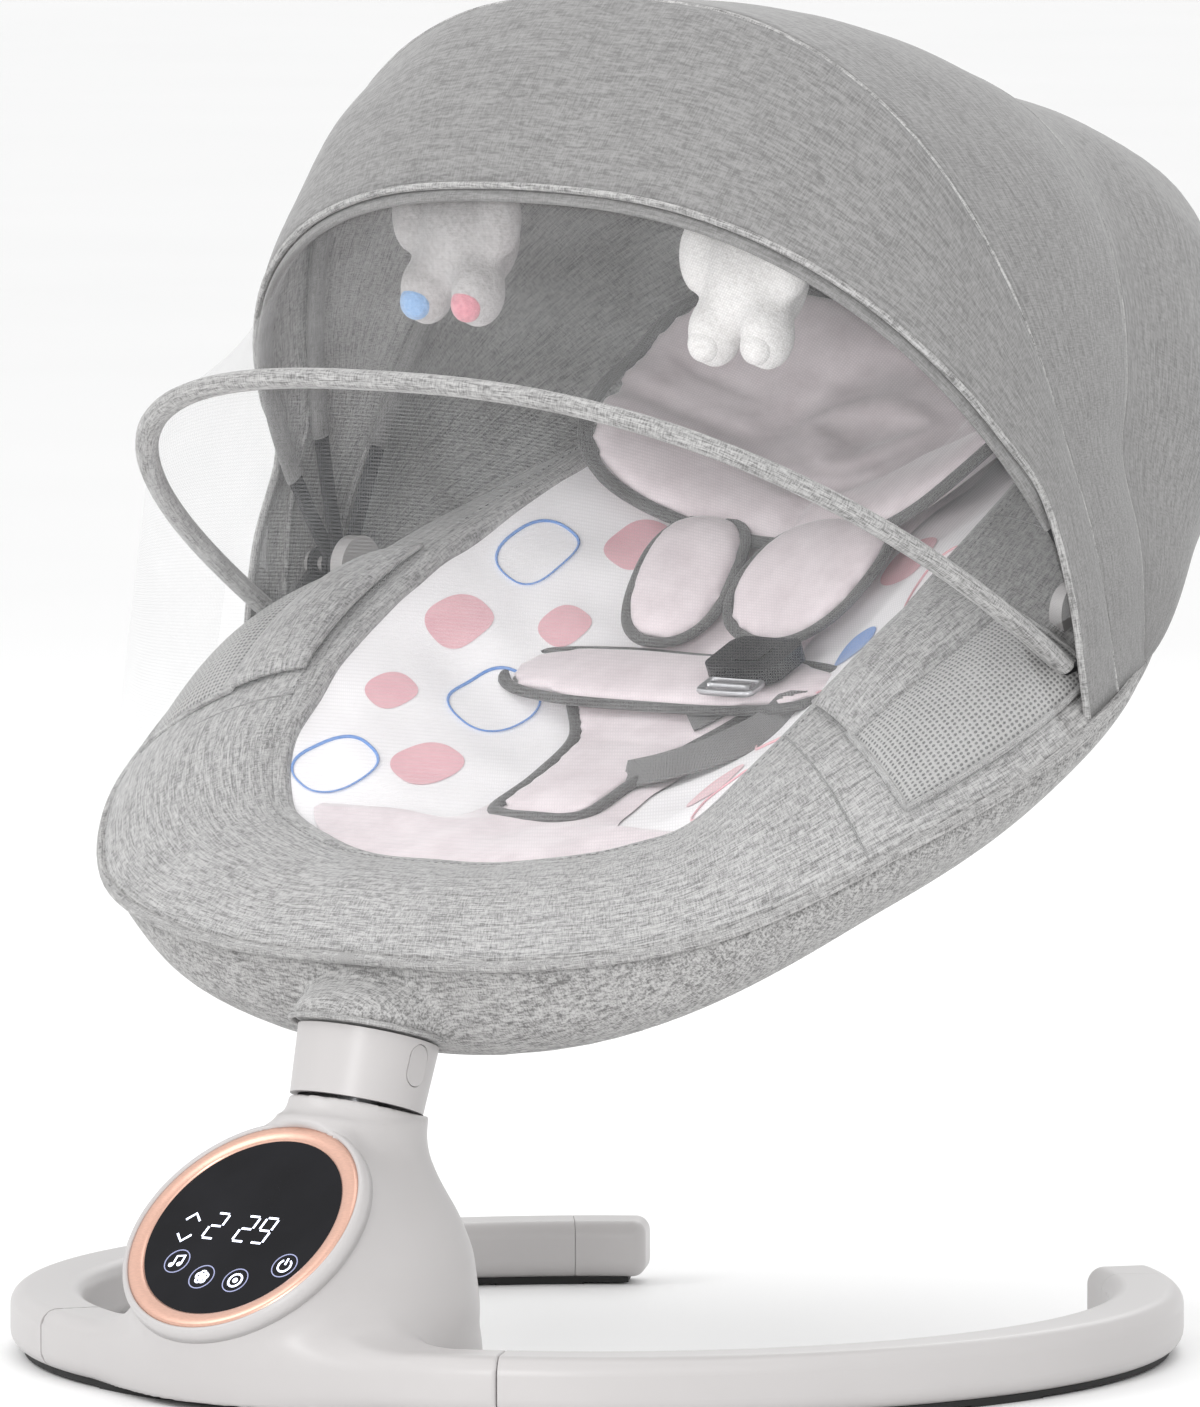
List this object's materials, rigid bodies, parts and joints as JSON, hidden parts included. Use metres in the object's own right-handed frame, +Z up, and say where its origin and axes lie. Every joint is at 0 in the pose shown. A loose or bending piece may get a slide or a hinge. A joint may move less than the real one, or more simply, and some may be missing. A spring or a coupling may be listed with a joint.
{
  "type": "baby swing",
  "caption": "Motorised infant swing seat: C-shaped floor ring, tilted neck with round display, padded reclined seat, folding three-bow canopy with insect net and hanging toys.",
  "frame": {"origin": "middle of the object's footprint, on the floor that the rubber feet stand on", "axes": "+Z up, +Y from the display at the foot end to the head end of the seat, +X to the seated baby's left"},
  "size_m": [0.6, 0.7267, 0.6957],
  "materials": {
    "plastic_grey": "satin warm light grey moulded plastic",
    "plastic_dark": "dark grey moulded plastic",
    "rose_gold": "rose gold lacquered ring",
    "black_glass": "gloss black panel with white figures",
    "circuit_board": "green circuit board",
    "copper": "wound copper wire",
    "steel": "plain steel",
    "rubber": "black rubber",
    "heather_fabric": "grey heather woven fabric",
    "seat_velvet": "pale pink-grey velvet",
    "liner_print": "white cotton with soft pink and blue shapes",
    "mesh_fabric": "grey knitted mesh",
    "net": "sheer grey insect net",
    "webbing": "grey ribbed webbing",
    "plush_white": "white plush",
    "plush_grey": "grey plush"
  },
  "bodies": {
    "base": {"motor_housing": "plastic_grey", "housing_bottom_plate": "plastic_dark", "display_bezel": "rose_gold", "display_glass": "black_glass", "display_board": "circuit_board", "main_board": "circuit_board", "speaker": "plastic_dark", "drive_coil": "copper", "neck_lower": "plastic_grey", "neck_bearings": "plastic_dark", "dc_inlet": "plastic_dark", "right_leg": "plastic_grey", "left_leg": "plastic_grey", "leg_spigots": "plastic_dark", "right_end_cap": "plastic_grey", "left_end_cap": "plastic_grey", "front_sole": "rubber", "side_soles": "rubber", "rubber_feet": "rubber", "leg_screws": "steel"},
    "swing_neck": {"neck_upper": "plastic_grey", "swing_shaft": "steel", "rotor_arm": "plastic_dark", "drive_magnets": "steel", "release_spring_right": "steel", "release_spring_left": "steel"},
    "release_button_right": {"release_button_right": "plastic_grey"},
    "release_button_left": {"release_button_left": "plastic_grey"},
    "seat": {"seat_plug": "plastic_dark", "seat_saucer": "plastic_dark", "seat_post": "plastic_dark", "seat_frame_tube": "steel", "seat_shell": "heather_fabric", "seat_board": "plastic_dark", "canopy_brackets": "plastic_grey", "seat_coaming": "heather_fabric", "seat_cushion": "seat_velvet", "seat_liner": "liner_print", "head_pillow": "seat_velvet", "body_insert": "seat_velvet", "waist_pad": "seat_velvet", "crotch_pad": "seat_velvet", "waist_belt": "webbing", "crotch_strap": "webbing", "buckle_body": "plastic_dark", "mesh_pocket_right": "mesh_fabric", "mesh_pocket_left": "mesh_fabric", "canopy_pins": "plastic_grey"},
    "buckle_button": {"buckle_button": "plastic_dark"},
    "canopy_rear": {"canopy_bow_rear": "plastic_dark", "canopy_panel_rear": "heather_fabric"},
    "canopy_mid": {"canopy_bow_mid": "plastic_dark", "canopy_panel_mid": "heather_fabric", "toy_eyelets": "plastic_dark"},
    "canopy_front": {"canopy_bow_front": "plastic_dark", "canopy_panel_front": "heather_fabric"},
    "net_bow": {"net_bow": "plastic_dark", "net_upper": "net", "net_lower": "net"},
    "toy_right": {"toy_right": "plush_white"},
    "toy_left": {"toy_left": "plush_grey"}
  },
  "joints": [
    {"name": "swing", "type": "hinge", "parent": "base", "child": "swing_neck", "pos_m": [0, -0.22983, 0.142], "axis": [0, 0.2756, 0.9613], "range_deg": [-12, 12]},
    {"name": "release_button_right_press", "type": "slide", "parent": "swing_neck", "child": "release_button_right", "axis": [-1, 0, 0], "range_m": [0, 0.003], "stiffness_N_per_m": 400, "deforming": ["release_spring_right"]},
    {"name": "release_button_left_press", "type": "slide", "parent": "swing_neck", "child": "release_button_left", "axis": [1, 0, 0], "range_m": [0, 0.003], "stiffness_N_per_m": 400, "deforming": ["release_spring_left"]},
    {"name": "seat_lift", "type": "slide", "parent": "swing_neck", "child": "seat", "axis": [0, 0.2756, 0.9613], "range_m": [0, 0.06]},
    {"name": "buckle_button_press", "type": "slide", "parent": "seat", "child": "buckle_button", "axis": [0, 0.4019, -0.9157], "range_m": [0, 0.002], "stiffness_N_per_m": 400},
    {"name": "canopy_fold", "type": "hinge", "parent": "seat", "child": "canopy_rear", "pos_m": [0, 0.05017, 0.385], "axis": [-1, 0, 0], "range_deg": [0, 24], "deforming": ["canopy_panel_rear", "canopy_panel_mid", "canopy_panel_front", "net_lower", "net_upper"]},
    {"name": "canopy_mid_fold", "type": "hinge", "parent": "canopy_rear", "child": "canopy_mid", "pos_m": [0, 0.05017, 0.385], "axis": [-1, 0, 0], "range_deg": [0, 23]},
    {"name": "canopy_front_fold", "type": "hinge", "parent": "canopy_mid", "child": "canopy_front", "pos_m": [0, 0.05017, 0.385], "axis": [-1, 0, 0], "range_deg": [0, 11]},
    {"name": "net_lift", "type": "hinge", "parent": "canopy_front", "child": "net_bow", "pos_m": [0, 0.05017, 0.385], "axis": [-1, 0, 0], "range_deg": [0, 16]},
    {"name": "toy_right_swing", "type": "hinge", "parent": "canopy_mid", "child": "toy_right", "pos_m": [0.09516, -0.02756, 0.66109], "axis": [1, 0, 0], "range_deg": [-15, 20]},
    {"name": "toy_left_swing", "type": "hinge", "parent": "canopy_mid", "child": "toy_left", "pos_m": [-0.09516, -0.02756, 0.66109], "axis": [1, 0, 0], "range_deg": [-15, 20]}
  ],
  "couplings": [
    {"joint": "canopy_mid_fold", "follows": "canopy_fold", "ratio": 0.94},
    {"joint": "canopy_front_fold", "follows": "canopy_fold", "ratio": 0.45}
  ]
}
